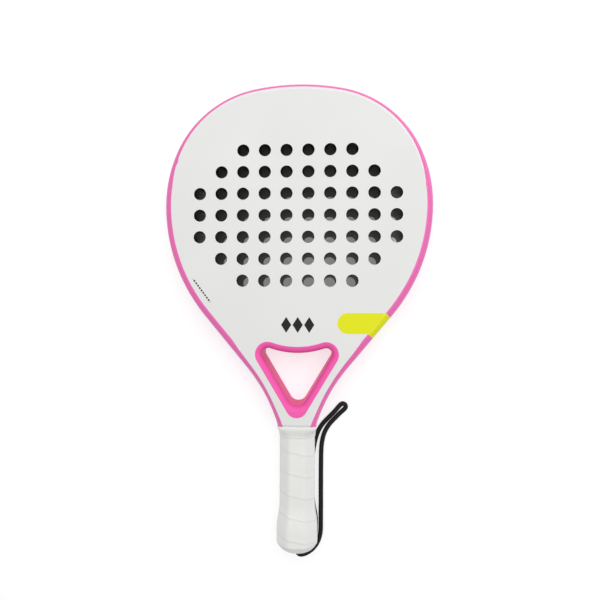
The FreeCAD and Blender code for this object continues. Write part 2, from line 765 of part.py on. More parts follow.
def make_cord_knot():
    """Stopper knot of the cord, held behind the end wall of the cap."""
    body = new_body("cord_knot")
    base = "-Dims.racket_length / 2 + Dims.cap_end_wall + Dims.fit_clearance"
    section = new_sketch(body, "KnotSection", "XZ_Plane", f"-({base} + Dims.knot_length)")
    draw_circles(section, [(0.0, MIDDLE)], "Dims.knot_radius")
    block = pad(body, section, "Dims.knot_length")
    rims = [f"Edge{n}" for n, e in enumerate(block.Shape.Edges, 1) if e.BoundBox.YLength < 0.01]
    rounding = body.newObject("PartDesign::Fillet", "KnotRounding")
    rounding.Base = (block, rims)
    rounding.setExpression("Radius", "Dims.knot_length * 0.4")
    doc.recompute()
    return [body]


# ---------------------------------------------------------------- build, check and write
pieces = (
    make_frame_tube()
    + make_bridge()
    + make_throat_rim()
    + make_core_and_faces()
    + make_pallets()
    + make_tail_plugs()
    + make_grips()
    + make_finishing_tape()
    + make_butt_cap()
    + make_cord_knot()
    + make_wrist_cord()
)
doc.recompute()

for thing in doc.Objects:
    if "Invalid" in thing.State or "Error" in thing.State:
        raise RuntimeError(f"{thing.Label} failed: {thing.State}")

os.makedirs("parts", exist_ok=True)
for piece in pieces:
    shape = piece.Shape
    if shape.isNull() or not shape.isValid() or shape.Volume <= 0:
        raise RuntimeError(f"{piece.Label} has no valid shape")
    box = shape.BoundBox
    print(f"{piece.Label}: {len(shape.Solids)} solid, {shape.Volume / 1000:.2f} cm3, "
          f"x {box.XMin:.1f} {box.XMax:.1f} y {box.YMin:.1f} {box.YMax:.1f} "
          f"z {box.ZMin:.2f} {box.ZMax:.2f}")
    shape.exportStep(f"parts/{piece.Label}.step")
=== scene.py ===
# %% [markdown]
# # A padel racket in Blender
#
# A padel racket is a foam slab between two thin skins, held in a carbon tube that also makes the
# throat and the handle. The CAD model already holds every part at its real size, so this lesson
# spends its time on what the eye sees: lacquer, drilled foam, a taped grip and a braided cord.
#
# The frame comes first. It could be rebuilt here, but then each size would be written twice.
# Loading it avoids most of that. Several heights and ends are read from the boxes of the loaded
# parts. What is left, such as the cord's route and the pitch of the holes, is written again.

# %% Load the CAD frame
import math

import bmesh
import bpy
from mathutils import Matrix, Vector


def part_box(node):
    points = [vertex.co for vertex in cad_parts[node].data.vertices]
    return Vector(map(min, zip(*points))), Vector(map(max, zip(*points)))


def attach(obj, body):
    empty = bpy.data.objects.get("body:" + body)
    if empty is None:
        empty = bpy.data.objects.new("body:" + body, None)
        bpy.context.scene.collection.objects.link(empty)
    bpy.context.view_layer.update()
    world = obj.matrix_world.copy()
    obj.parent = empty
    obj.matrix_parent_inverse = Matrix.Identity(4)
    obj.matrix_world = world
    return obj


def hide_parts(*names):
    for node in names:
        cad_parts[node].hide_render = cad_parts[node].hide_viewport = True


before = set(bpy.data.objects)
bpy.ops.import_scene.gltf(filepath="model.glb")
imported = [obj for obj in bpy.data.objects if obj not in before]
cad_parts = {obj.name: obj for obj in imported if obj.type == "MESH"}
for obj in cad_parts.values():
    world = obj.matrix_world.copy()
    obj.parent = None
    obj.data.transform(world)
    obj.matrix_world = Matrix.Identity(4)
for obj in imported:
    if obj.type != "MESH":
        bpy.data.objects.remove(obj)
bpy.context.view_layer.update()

MM = 0.001
print("parts:", len(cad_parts))

# %% [markdown]
# ## The camera
#
# The racket is seen from above, as when it lies on a white table. A camera can be aimed with a
# Track To constraint or turned by angles. Here its three axes are written down, because a view
# that leans by only about three degrees is easier to set from directions than from angles.

# %% Camera
CAMERA_PLACE = (23.5 * MM, 7.6 * MM, 448.8 * MM)
camera_data = bpy.data.cameras.new("camera")
camera_data.lens = 25.9
camera_data.sensor_width = 36.0
camera = bpy.data.objects.new("camera", camera_data)
bpy.context.scene.collection.objects.link(camera)
bpy.context.scene.camera = camera

camera_back = Vector((0.0500, -0.0222, 0.9985)).normalized()
camera_right = Vector((0.9987, 0.0037, -0.0499))
camera_right = (camera_right - camera_right.dot(camera_back) * camera_back).normalized()
camera_up = camera_back.cross(camera_right)
turned = Matrix((camera_right, camera_up, camera_back)).transposed().to_4x4()
camera.matrix_world = Matrix.Translation(CAMERA_PLACE) @ turned
print("camera height in mm:", round(camera.matrix_world.translation.z / MM))

# %% [markdown]
# ## The table and the light
#
# A white table lit from all round gives the soft, close shadow of a studio picture. A sun would
# draw hard edges, so the light is a pale world with two soft panels. The first is big and hangs
# high, beyond the head and a little to the right, so the shadow falls towards the handle. The
# second is small and stands low at the upper right. From above, the rounded tube mirrors what
# stands beside it, so that panel draws the pale streak along the shoulder.

# %% Colour helper
def linear(code):
    """Turn an sRGB hex colour into the linear red, green, blue and alpha that shaders use."""
    parts = [int(code[place:place + 2], 16) / 255 for place in (1, 3, 5)]
    return [c / 12.92 if c <= 0.04045 else ((c + 0.055) / 1.055) ** 2.4 for c in parts] + [1.0]


# %% World and soft panels
world = bpy.data.worlds.new("studio")
bpy.context.scene.world = world
world.use_nodes = True
world.node_tree.nodes["Background"].inputs["Color"].default_value = linear("#FFFFFF")
world.node_tree.nodes["Background"].inputs["Strength"].default_value = 0.36
bpy.context.scene.view_settings.view_transform = "Standard"


def soft_panel(name, place, aim, width, height, power):
    """Rectangular studio light that faces a point."""
    light = bpy.data.lights.new(name, "AREA")
    light.shape = "RECTANGLE"
    light.size = width
    light.size_y = height
    light.energy = power
    panel = bpy.data.objects.new(name, light)
    panel.matrix_world = Matrix.Translation(place) @ (
        (Vector(aim) - Vector(place)).to_track_quat("-Z", "Y").to_matrix().to_4x4())
    bpy.context.scene.collection.objects.link(panel)


soft_panel("overhead_panel", (0.15, 0.6, 1.8), (0, 0, 0), 2.0, 2.0, 34.0)
soft_panel("shoulder_panel", (0.95, 0.75, 0.30), (0.08, 0.12, 0.02), 0.7, 0.45, 1.4)

# %% [markdown]
# ## A way to write materials
#
# Each finish is a small graph of nodes. Adding a node, setting it and joining it are the same
# few lines every time, so one function does all three. A value that is a socket is linked, and
# any other value is set.

# %% Node helper
def add_node(tree, kind, settings=None, inputs=None):
    """Add a node, set its own options, and link or set its inputs."""
    node = tree.nodes.new(kind)
    for name, value in (settings or {}).items():
        setattr(node, name, value)
    for name, value in (inputs or {}).items():
        if isinstance(value, bpy.types.NodeSocket):
            tree.links.new(value, node.inputs[name])
        else:
            node.inputs[name].default_value = value
    return node


def new_finish(name, constants):
    """Material with one Principled shader whose constant sockets are set directly."""
    material = bpy.data.materials.new(name)
    material.use_nodes = True
    shader = material.node_tree.nodes["Principled BSDF"]
    for socket, value in constants.items():
        shader.inputs[socket].default_value = value
    return material, material.node_tree, shader


def add_grain(tree, shader, coordinates, grain, height):
    """Fine relief whose bumps are one grain apart, in metres, and this high."""
    noise = add_node(tree, "ShaderNodeTexNoise", {}, {
        "Vector": coordinates, "Scale": 1 / grain, "Detail": 2.0})
    bump = add_node(tree, "ShaderNodeBump", {}, {
        "Height": noise.outputs["Fac"], "Distance": height, "Strength": 1.0})
    tree.links.new(bump.outputs["Normal"], shader.inputs["Normal"])
    return noise


# %% [markdown]
# ## Light table
#
# Small products are often laid on a light table, a matt sheet that glows. The sheet here is grey
# and the glow makes it white, so a coloured edge tints it less than it would tint white paper.
# It is only a stage, so one flat quad is enough, just under the racket's back skin. Under the
# head, where only the drilled holes let the sheet be seen, the glow is turned down as painted
# shade, so that the holes stay deep.

# %% Table
# Painted shade: a disc of weaker glow under the head stands in for the racket's shadow.
HEAD_SHADE_MIDDLE = (0.0, 0.095, 0.0)
HEAD_SHADE_RADIUS = 0.105
HEAD_SHADE_EDGE = 0.01
HEAD_SHADE_GLOW = 0.18
OPEN_GLOW = 0.64
TABLE_GAP = 0.2 * MM


def glowing_sheet():
    material, tree, shader = new_finish("matt_white_light_sheet", {
        "Base Color": linear("#A8A8A8"), "Roughness": 0.9, "Specular IOR Level": 0.1,
        "Emission Color": linear("#FFFFFF")})
    place = add_node(tree, "ShaderNodeTexCoord")
    away = add_node(tree, "ShaderNodeVectorMath", {"operation": "DISTANCE"}, {
        0: place.outputs["Object"], 1: HEAD_SHADE_MIDDLE})
    # Inside the disc under the head the glow drops to the painted-shade level.
    glow = add_node(tree, "ShaderNodeMapRange", {}, {
        "Value": away.outputs["Value"], "From Min": HEAD_SHADE_RADIUS - HEAD_SHADE_EDGE,
        "From Max": HEAD_SHADE_RADIUS, "To Min": HEAD_SHADE_GLOW, "To Max": OPEN_GLOW})
    tree.links.new(glow.outputs[0], shader.inputs["Emission Strength"])
    return material


table_mesh = bpy.data.meshes.new("table")
table_bm = bmesh.new()
bmesh.ops.create_grid(table_bm, x_segments=1, y_segments=1, size=3.0,
                      matrix=Matrix.Translation((0, 0, -TABLE_GAP)))
table_bm.to_mesh(table_mesh)
table_bm.free()
table_mesh.materials.append(glowing_sheet())
table = bpy.data.objects.new("table", table_mesh)
bpy.context.scene.collection.objects.link(table)

# %% [markdown]
# ## The wrist cord's line
#
# The cord leaves the hole in the butt, lies down beside the handle, runs up past the tape to a
# tight fold and comes back. It is one fixed length of braid. The line could be a Bezier curve,
# but its handles would need care at every point. A NURBS spline stays smooth by itself and
# passes close to the chosen points, so a few points tell the whole route.

# %% Route of the cord
CORD_DIAMETER = 4.8 * MM
LYING = CORD_DIAMETER / 2 / MM + 0.05
CORD_ROUTE = (
    (0.0, -227.5, 21.45), (0.8, -231.9, 20.9), (6.8, -233.9, 16.9), (13.9, -233.2, 10.6),
    (19.9, -228.9, 5.2), (23.2, -220.2, 2.7), (23.2, -206.5, LYING), (23.3, -190.0, LYING),
    (23.2, -170.0, LYING), (23.3, -149.0, LYING), (23.5, -131.5, LYING), (25.9, -119.2, LYING),
    (30.9, -110.3, LYING), (36.6, -104.2, LYING), (42.2, -98.4, LYING), (45.4, -95.6, LYING),
    (48.8, -92.3, LYING), (47.8, -89.0, LYING), (44.5, -88.2, LYING), (41.0, -91.7, LYING),
    (37.9, -95.7, LYING), (31.6, -102.2, LYING), (25.0, -108.8, LYING), (20.3, -116.3, LYING),
    (17.0, -126.5, LYING), (14.6, -140.5, LYING), (13.2, -157.0, LYING), (13.9, -176.0, LYING),
    (15.2, -190.8, LYING), (17.9, -202.2, LYING), (18.0, -212.0, LYING), (17.8, -220.6, LYING),
    (15.6, -226.9, 2.8), (11.4, -231.2, 6.0), (5.5, -232.9, 10.9), (0.6, -231.6, 15.9),
    (0.0, -227.5, 16.55),
)


def line_through(name, route, smoothness):
    """Points along the NURBS spline of a route given in millimetres."""
    curve = bpy.data.curves.new(name, "CURVE")
    curve.dimensions = "3D"
    curve.resolution_u = smoothness
    spline = curve.splines.new("NURBS")
    spline.points.add(len(route) - 1)
    for point, (x, y, z) in zip(spline.points, route):
        point.co = (x * MM, y * MM, z * MM, 1.0)
    spline.order_u = 3
    spline.use_endpoint_u = True
    holder = bpy.data.objects.new(name, curve)
    bpy.context.scene.collection.objects.link(holder)
    bpy.context.view_layer.update()
    mesh = bpy.data.meshes.new_from_object(holder)
    points = [vertex.co.copy() for vertex in mesh.vertices]
    bpy.data.objects.remove(holder)
    bpy.data.meshes.remove(mesh)
    return points


cord_line = line_through("cord_line", CORD_ROUTE, 18)
cord_length = sum((b - a).length for a, b in zip(cord_line, cord_line[1:]))
print("cord points:", len(cord_line), "length in mm:", round(cord_length / MM, 1))

# %% [markdown]
# ## From line to braid
#
# A bevelled curve would give a plain rubber tube. The real cord is plaited from sixteen yarns,
# and each yarn goes over one and under the next. So a ring of points is extruded along the line,
# and every point is then sunk by a small formula that draws two sets of crossing yarns. Each
# point remembers how far round and how far along it is, for the relief and for the colour.

# %% Ring helpers
def add_piece(name, bm, finish, body):
    """Turn a bmesh into an object of the racket that rides on a body."""
    for face in bm.faces:
        face.smooth = True
    mesh = bpy.data.meshes.new(name)
    bm.to_mesh(mesh)
    bm.free()
    mesh.materials.append(finish)
    piece = bpy.data.objects.new(name, mesh)
    bpy.context.scene.collection.objects.link(piece)
    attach(piece, body)
    return piece


def extrude_ring(bm, ring):
    """Extrude a closed ring of edges where it is, and return the new edges and vertices."""
    made = bmesh.ops.extrude_edge_only(bm, edges=ring)["geom"]
    edges = [e for e in made if isinstance(e, bmesh.types.BMEdge)]
    verts = [v for v in made if isinstance(v, bmesh.types.BMVert)]
    return edges, verts


# %% Braid relief
YARNS_EACH_WAY = 8
YARN_ADVANCE = 2.1 * MM
YARN_DEPTH = 0.07
LOWER_YARN_HEIGHT = 0.55
BRAID_SIDES = 32


def braid_height(around, along):
    """Height of the braid, 0 in the gaps and 1 on top of a yarn."""
    left = around * YARNS_EACH_WAY + along / YARN_ADVANCE
    right = around * YARNS_EACH_WAY - along / YARN_ADVANCE
    left_yarn = math.sin(math.pi * left) ** 2
    right_yarn = math.sin(math.pi * right) ** 2
    left_on_top = math.cos(math.pi * (math.floor(left) + math.floor(right))) > 0
    over, under = (left_yarn, right_yarn) if left_on_top else (right_yarn, left_yarn)
    return max(over, LOWER_YARN_HEIGHT * under)


# %% Tube along a line
def braided_tube(line, diameter, sides):
    """Closed braided tube along a line, with a UV map of turns round and diameters along."""
    bm = bmesh.new()
    around = bm.verts.layers.float.new("around")
    along = bm.verts.layers.float.new("along")
    station = bm.verts.layers.int.new("station")
    heading = (line[1] - line[0]).normalized()
    start = Matrix.Translation(line[0]) @ heading.to_track_quat("Z", "Y").to_matrix().to_4x4()
    first = bmesh.ops.create_circle(bm, segments=sides, radius=diameter / 2, matrix=start)["verts"]
    for number, vert in enumerate(first):
        vert[around] = number / sides
    ring = list(bm.edges)
    travelled = 0.0
    for number in range(1, len(line)):
        ring, verts = extrude_ring(bm, ring)
        ahead = line[min(number + 1, len(line) - 1)] - line[number - 1]
        turn = heading.rotation_difference(ahead).to_matrix().to_4x4()
        move = Matrix.Translation(line[number]) @ turn @ Matrix.Translation(-line[number - 1])
        bmesh.ops.transform(bm, matrix=move, verts=verts)
        heading = ahead.normalized()
        travelled += (line[number] - line[number - 1]).length
        for vert in verts:
            vert[along] = travelled
            vert[station] = number
    for vert in bm.verts:
        sink = YARN_DEPTH * (1 - braid_height(vert[around], vert[along]))
        vert.co = vert.co.lerp(line[vert[station]], sink)
    ends = [e for e in bm.edges if e.is_boundary]
    bmesh.ops.holes_fill(bm, edges=ends, sides=sides)
    bmesh.ops.recalc_face_normals(bm, faces=bm.faces)
    uv = bm.loops.layers.uv.new("braid")
    for face in bm.faces:
        crosses_seam = max(v[around] for v in face.verts) > 0.75
        for loop in face.loops:
            place = loop.vert[around]
            if crosses_seam and place < 0.25:
                place += 1.0
            loop[uv].uv = (place, loop.vert[along] / diameter)
    return bm


# %% [markdown]
# ## Black polyester braid
#
# Polyester yarn is nearly black but not flat: every yarn is a bundle of bright threads, so it
# has a soft sheen and a fine stripe along it. The stripe follows the map made with the tube.

# %% Cord finish
def polyester_braid():
    material, tree, shader = new_finish("black_polyester_braid", {
        "Roughness": 0.7, "Specular IOR Level": 0.3, "Sheen Weight": 0.04, "Sheen Roughness": 0.4})
    uv = add_node(tree, "ShaderNodeUVMap", {"uv_map": "braid"})
    threads = add_node(tree, "ShaderNodeMapping", {}, {
        "Vector": uv.outputs["UV"], "Scale": (48.0, 3.0, 1.0), "Rotation": (0, 0, 0.6)})
    stripe = add_node(tree, "ShaderNodeTexNoise", {}, {
        "Vector": threads.outputs["Vector"], "Scale": 1.0, "Detail": 2.0})
    tone = add_node(tree, "ShaderNodeMix", {"data_type": "RGBA"}, {
        0: stripe.outputs["Fac"], 6: linear("#050505"), 7: linear("#17171A")})
    tree.links.new(tone.outputs[2], shader.inputs["Base Color"])
    relief = add_node(tree, "ShaderNodeBump", {}, {
        "Height": stripe.outputs["Fac"], "Distance": 0.05 * MM, "Strength": 0.6})
    tree.links.new(relief.outputs["Normal"], shader.inputs["Normal"])
    return material


braid = polyester_braid()

# %% Wrist cord
cord = add_piece("wrist_cord_braid", braided_tube(cord_line, CORD_DIAMETER, BRAID_SIDES), braid,
                 "strap")
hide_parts("wrist_cord")
print("braid faces:", len(cord.data.polygons))

# %% [markdown]
# Two short lengths of the same braid lie in the hole, between the stopper knot and the mouth.
# They stay with the racket, because the cord turns about the mouth and not inside the cap.

# %% Cord ends inside the cap
MOUTH = -227.5
KNOT_FACE = -220.0
MOUTH_MIDDLE = 19.0
STUB_OFFSET = 2.2
for label, height in (("upper", MOUTH_MIDDLE + STUB_OFFSET),
                      ("lower", MOUTH_MIDDLE - STUB_OFFSET)):
    stub_route = ((0.0, MOUTH, height), (0.0, (MOUTH + KNOT_FACE) / 2, height),
                  (0.0, KNOT_FACE, (height + MOUTH_MIDDLE) / 2))
    stub_line = line_through(f"stub_line_{label}", stub_route, 8)
    stub = add_piece(f"cord_end_{label}", braided_tube(stub_line, CORD_DIAMETER, BRAID_SIDES),
                     braid, "racket")
    print(stub.name, "faces:", len(stub.data.polygons))

# %% [markdown]
# ## White and pink lacquer
#
# Frame and skins are sprayed with two-part polyurethane lacquer. It is a smooth film with a
# slight orange peel, about two millimetres from wave to wave. The frame is pink on its sides
# and its rounded edge, and white where it turns flat. That line could be a cut in the mesh, but
# the painter's line follows how far the surface has turned, so the surface direction draws it:
# where it points nearly straight up or down, the coat is white. Near the crown and along the
# throat the white comes further over the edge. Below the skins, on the step into the handle, the
# white is also a band of one width along the middle.
#
# A yellow bar crosses the right flank. On the skin it is level, with a round end, and over the
# edge it runs square to the tube.

# %% Sizes of the painted marks
PAINT_PINK = "#E66BB0"
PAINT_WHITE = "#E2E2E0"
PAINT_YELLOW = "#DCDE00"
INK_BLACK = "#101010"
EDGE_RADIUS = 7.0 * MM
FLANK_ANGLE = math.radians(39.7)
BAR_TOP = 4.5 * MM
BAR_BOTTOM = -15.4 * MM
BAR_LEFT = 38.6 * MM
FLANK_REACH = 61.6 * MM
NECK_WHITE_HALF_WIDTH = 13.1 * MM
PINK_AT_SIDES = 6.8 * MM
PINK_AT_CROWN = 4.6 * MM
PINK_AT_THROAT = 4.3 * MM
PINK_AT_TAPE = 5.2 * MM
ORANGE_PEEL = 2.2 * MM


def facing(inset):
    """How far the rounded edge faces up at this inset from the racket's side."""
    return math.sqrt(1 - (1 - inset / EDGE_RADIUS) ** 2)


def along_flank(height):
    """Place along the flank where a level line meets the edge of the skin."""
    across = (FLANK_REACH + math.sin(FLANK_ANGLE) * height) / math.cos(FLANK_ANGLE)
    return across * math.sin(FLANK_ANGLE) + height * math.cos(FLANK_ANGLE)


print("bar along the flank in mm:", round((along_flank(BAR_TOP) - along_flank(BAR_BOTTOM)) / MM, 1))

# %% Lacquer on the frame tube
def level_share(tree, place):
    """How far the surface faces straight up or down, from 0 on a wall to 1 on a flat."""
    normal = add_node(tree, "ShaderNodeSeparateXYZ", {}, {0: place.outputs["Normal"]})
    return add_node(tree, "ShaderNodeMath", {"operation": "ABSOLUTE"}, {
        0: normal.outputs["Z"]}).outputs[0]


def frame_lacquer():
    material, tree, shader = new_finish("two_tone_polyurethane_lacquer", {
        "Roughness": 0.3, "IOR": 1.5, "Specular IOR Level": 0.35, "Coat Weight": 0.15,
        "Coat Roughness": 0.2})
    place = add_node(tree, "ShaderNodeTexCoord")
    split = add_node(tree, "ShaderNodeSeparateXYZ", {}, {0: place.outputs["Object"]})
    crown = add_node(tree, "ShaderNodeMapRange", {"interpolation_type": "SMOOTHSTEP"}, {
        "Value": split.outputs["Y"], "From Min": 115 * MM, "From Max": 227 * MM,
        "To Min": facing(PINK_AT_SIDES), "To Max": facing(PINK_AT_CROWN)})
    throat = add_node(tree, "ShaderNodeMapRange", {"interpolation_type": "SMOOTHSTEP"}, {
        "Value": split.outputs["Y"], "From Min": -15 * MM, "From Max": -85 * MM,
        "To Min": facing(PINK_AT_SIDES), "To Max": facing(PINK_AT_THROAT)})
    neck = add_node(tree, "ShaderNodeMapRange", {"interpolation_type": "SMOOTHSTEP"}, {
        "Value": split.outputs["Y"], "From Min": -85 * MM, "From Max": -102 * MM,
        "To Min": facing(PINK_AT_THROAT), "To Max": facing(PINK_AT_TAPE)})
    lower = add_node(tree, "ShaderNodeMath", {"operation": "MAXIMUM"}, {
        0: throat.outputs[0], 1: neck.outputs[0]})
    line = add_node(tree, "ShaderNodeMath", {"operation": "MINIMUM"}, {
        0: crown.outputs[0], 1: lower.outputs[0]})
    flat = add_node(tree, "ShaderNodeMath", {"operation": "GREATER_THAN"}, {
        0: level_share(tree, place), 1: line.outputs[0]})
    below = add_node(tree, "ShaderNodeMath", {"operation": "LESS_THAN"}, {
        0: split.outputs["Y"], 1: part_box("front_face")[0].y})
    between = add_node(tree, "ShaderNodeMath", {"operation": "COMPARE"}, {
        0: split.outputs["X"], 1: 0.0, 2: NECK_WHITE_HALF_WIDTH})
    step = add_node(tree, "ShaderNodeMath", {"operation": "MULTIPLY"}, {
        0: below.outputs[0], 1: between.outputs[0]})
    white = add_node(tree, "ShaderNodeMath", {"operation": "MAXIMUM"}, {
        0: flat.outputs[0], 1: step.outputs[0]})
    coat = add_node(tree, "ShaderNodeMix", {"data_type": "RGBA"}, {
        0: white.outputs[0], 6: linear(PAINT_PINK), 7: linear(PAINT_WHITE)})
    run = add_node(tree, "ShaderNodeVectorMath", {"operation": "DOT_PRODUCT"}, {
        0: place.outputs["Object"], 1: (math.sin(FLANK_ANGLE), math.cos(FLANK_ANGLE), 0.0)})
    middle = (along_flank(BAR_TOP) + along_flank(BAR_BOTTOM)) / 2
    half = (along_flank(BAR_TOP) - along_flank(BAR_BOTTOM)) / 2
    band = add_node(tree, "ShaderNodeMath", {"operation": "COMPARE"}, {
        0: run.outputs["Value"], 1: middle, 2: half})
    right = add_node(tree, "ShaderNodeMath", {"operation": "GREATER_THAN"}, {
        0: split.outputs["X"], 1: BAR_LEFT})
    bar = add_node(tree, "ShaderNodeMath", {"operation": "MULTIPLY"}, {
        0: band.outputs[0], 1: right.outputs[0]})
    painted = add_node(tree, "ShaderNodeMix", {"data_type": "RGBA"}, {
        0: bar.outputs[0], 6: coat.outputs[2], 7: linear(PAINT_YELLOW)})
    tree.links.new(painted.outputs[2], shader.inputs["Base Color"])
    add_grain(tree, shader, place.outputs["Object"], ORANGE_PEEL, 0.006 * MM)
    return material


# %% [markdown]
# ## Skins with marks and drilled edges
#
# The two skins carry the same white coat. The front one also has a small printed ornament, three
# lozenges in a row, and a line of fine dashes by the left edge. Decals could be thin pieces laid
# on top, but print has no thickness, so it belongs in the colour. Each lozenge is the set of
# points whose two distances from its middle add up to less than one. Where a drill has gone
# through, the skin shows its black glass and carbon laminate, so the walls of the holes are
# told apart by their direction.

# %% Lacquer on the skins
LOZENGE_PITCH = 11.0 * MM
LOZENGE_HALF_WIDTH = 4.9 * MM
LOZENGE_HALF_HEIGHT = 7.6 * MM
ORNAMENT_CENTRE = (0.8 * MM, -7.0 * MM)
DASH_START = Vector((-100.6, 36.8)) * MM
DASH_END = Vector((-83.8, 14.6)) * MM
DASH_PITCH = 2.9 * MM
DASH_HALF_WIDTH = 0.75 * MM
DASH_SHARE = 0.33
WALL_BELOW = 0.5
AXIS_HEIGHT = MOUTH_MIDDLE * MM


def skin_lacquer():
    material, tree, shader = new_finish("white_polyurethane_lacquer", {
        "IOR": 1.5, "Specular IOR Level": 0.16})
    place = add_node(tree, "ShaderNodeTexCoord")
    split = add_node(tree, "ShaderNodeSeparateXYZ", {}, {0: place.outputs["Object"]})

    clouds = add_node(tree, "ShaderNodeTexNoise", {}, {
        "Vector": place.outputs["Object"], "Scale": 1 / (60 * MM), "Detail": 1.0})
    coat = add_node(tree, "ShaderNodeMix", {"data_type": "RGBA"}, {
        0: clouds.outputs["Fac"], 6: linear("#DADAD8"), 7: linear("#E1E1E0")})
    gloss = add_node(tree, "ShaderNodeMapRange", {}, {
        "Value": clouds.outputs["Fac"], "To Min": 0.34, "To Max": 0.44})
    tree.links.new(gloss.outputs[0], shader.inputs["Roughness"])

    half = (BAR_TOP - BAR_BOTTOM) / 2
    beyond = add_node(tree, "ShaderNodeMath", {"operation": "SUBTRACT"}, {
        0: BAR_LEFT + half, 1: split.outputs["X"]})
    left = add_node(tree, "ShaderNodeMath", {"operation": "MAXIMUM"}, {
        0: beyond.outputs[0], 1: 0.0})
    above = add_node(tree, "ShaderNodeMath", {"operation": "SUBTRACT"}, {
        0: split.outputs["Y"], 1: (BAR_TOP + BAR_BOTTOM) / 2})
    offset = add_node(tree, "ShaderNodeCombineXYZ", {}, {0: left.outputs[0], 1: above.outputs[0]})
    distance = add_node(tree, "ShaderNodeVectorMath", {"operation": "LENGTH"}, {
        0: offset.outputs[0]})
    bar = add_node(tree, "ShaderNodeMath", {"operation": "LESS_THAN"}, {
        0: distance.outputs["Value"], 1: half})
    with_bar = add_node(tree, "ShaderNodeMix", {"data_type": "RGBA"}, {
        0: bar.outputs[0], 6: coat.outputs[2], 7: linear(PAINT_YELLOW)})

    ink = add_node(tree, "ShaderNodeMath", {"operation": "MAXIMUM"}, {
        0: lozenges(tree, split), 1: dashes(tree, place)})
    in_front = add_node(tree, "ShaderNodeMath", {"operation": "GREATER_THAN"}, {
        0: split.outputs["Z"], 1: AXIS_HEIGHT})
    printed = add_node(tree, "ShaderNodeMath", {"operation": "MULTIPLY"}, {
        0: ink.outputs[0], 1: in_front.outputs[0]})
    with_ink = add_node(tree, "ShaderNodeMix", {"data_type": "RGBA"}, {
        0: printed.outputs[0], 6: with_bar.outputs[2], 7: linear(INK_BLACK)})

    cut = add_node(tree, "ShaderNodeMath", {"operation": "LESS_THAN"}, {
        0: level_share(tree, place), 1: WALL_BELOW})
    seen = add_node(tree, "ShaderNodeMix", {"data_type": "RGBA"}, {
        0: cut.outputs[0], 6: with_ink.outputs[2], 7: linear("#0B0B0C")})
    tree.links.new(seen.outputs[2], shader.inputs["Base Color"])
    add_grain(tree, shader, place.outputs["Object"], ORANGE_PEEL, 0.004 * MM)
    return material


def lozenges(tree, split):
    """Mask of three lozenges in a row."""
    across = add_node(tree, "ShaderNodeMath", {"operation": "SUBTRACT"}, {
        0: split.outputs["X"], 1: ORNAMENT_CENTRE[0]})
    nearest = add_node(tree, "ShaderNodeMath", {"operation": "PINGPONG"}, {
        0: across.outputs[0], 1: LOZENGE_PITCH / 2})
    above = add_node(tree, "ShaderNodeMath", {"operation": "SUBTRACT"}, {
        0: split.outputs["Y"], 1: ORNAMENT_CENTRE[1]})
    height = add_node(tree, "ShaderNodeMath", {"operation": "ABSOLUTE"}, {0: above.outputs[0]})
    share = add_node(tree, "ShaderNodeMath", {"operation": "DIVIDE"}, {
        0: height.outputs[0], 1: LOZENGE_HALF_HEIGHT})
    both = add_node(tree, "ShaderNodeMath", {"operation": "MULTIPLY_ADD"}, {
        0: nearest.outputs[0], 1: 1 / LOZENGE_HALF_WIDTH, 2: share.outputs[0]})
    inside = add_node(tree, "ShaderNodeMath", {"operation": "LESS_THAN"}, {
        0: both.outputs[0], 1: 1.0})
    three = add_node(tree, "ShaderNodeMath", {"operation": "COMPARE"}, {
        0: across.outputs[0], 1: 0.0, 2: 1.5 * LOZENGE_PITCH})
    return add_node(tree, "ShaderNodeMath", {"operation": "MULTIPLY"}, {
        0: inside.outputs[0], 1: three.outputs[0]}).outputs[0]


def dashes(tree, place):
    """Mask of a short line of fine dashes."""
    run = (DASH_END - DASH_START).normalized()
    middle = (DASH_START + DASH_END) / 2
    moved = add_node(tree, "ShaderNodeVectorMath", {"operation": "SUBTRACT"}, {
        0: place.outputs["Object"], 1: (middle.x, middle.y, 0.0)})
    forward = add_node(tree, "ShaderNodeVectorMath", {"operation": "DOT_PRODUCT"}, {
        0: moved.outputs[0], 1: (run.x, run.y, 0.0)})
    sideways = add_node(tree, "ShaderNodeVectorMath", {"operation": "DOT_PRODUCT"}, {
        0: moved.outputs[0], 1: (-run.y, run.x, 0.0)})
    within = add_node(tree, "ShaderNodeMath", {"operation": "COMPARE"}, {
        0: forward.outputs["Value"], 1: 0.0, 2: (DASH_END - DASH_START).length / 2})
    narrow = add_node(tree, "ShaderNodeMath", {"operation": "COMPARE"}, {
        0: sideways.outputs["Value"], 1: 0.0, 2: DASH_HALF_WIDTH})
    beat = add_node(tree, "ShaderNodeMath", {"operation": "PINGPONG"}, {
        0: forward.outputs["Value"], 1: DASH_PITCH / 2})
    dash = add_node(tree, "ShaderNodeMath", {"operation": "LESS_THAN"}, {
        0: beat.outputs[0], 1: DASH_SHARE * DASH_PITCH})
    row = add_node(tree, "ShaderNodeMath", {"operation": "MULTIPLY"}, {
        0: within.outputs[0], 1: narrow.outputs[0]})
    return add_node(tree, "ShaderNodeMath", {"operation": "MULTIPLY"}, {
        0: row.outputs[0], 1: dash.outputs[0]}).outputs[0]


# %% [markdown]
# ## Foam, laminate and the throat liner
#
# The core is black EVA, a closed-cell foam. The drill leaves its wall smooth and slightly shiny,
# with open cells of about half a millimetre. The throat liner is a satin pink, near the frame's
# but stronger. Its upright inner wall is painted a deeper pink as painted shade of the recess.
# The other parts sit out of sight, and still get the finish that they have on the bench.

# %% Finishes with one grain
GRAIN_SHADE = 0.86


def grained(name, constants, grain, height):
    """Finish with one colour and a fine relief of its own grain."""
    material, tree, shader = new_finish(name, constants)
    place = add_node(tree, "ShaderNodeTexCoord")
    noise = add_grain(tree, shader, place.outputs["Object"], grain, height)
    base = constants["Base Color"]
    shade = [GRAIN_SHADE * part for part in base[:3]] + [1.0]
    tone = add_node(tree, "ShaderNodeMix", {"data_type": "RGBA"}, {
        0: noise.outputs["Fac"], 6: shade, 7: base})
    tree.links.new(tone.outputs[2], shader.inputs["Base Color"])
    return material


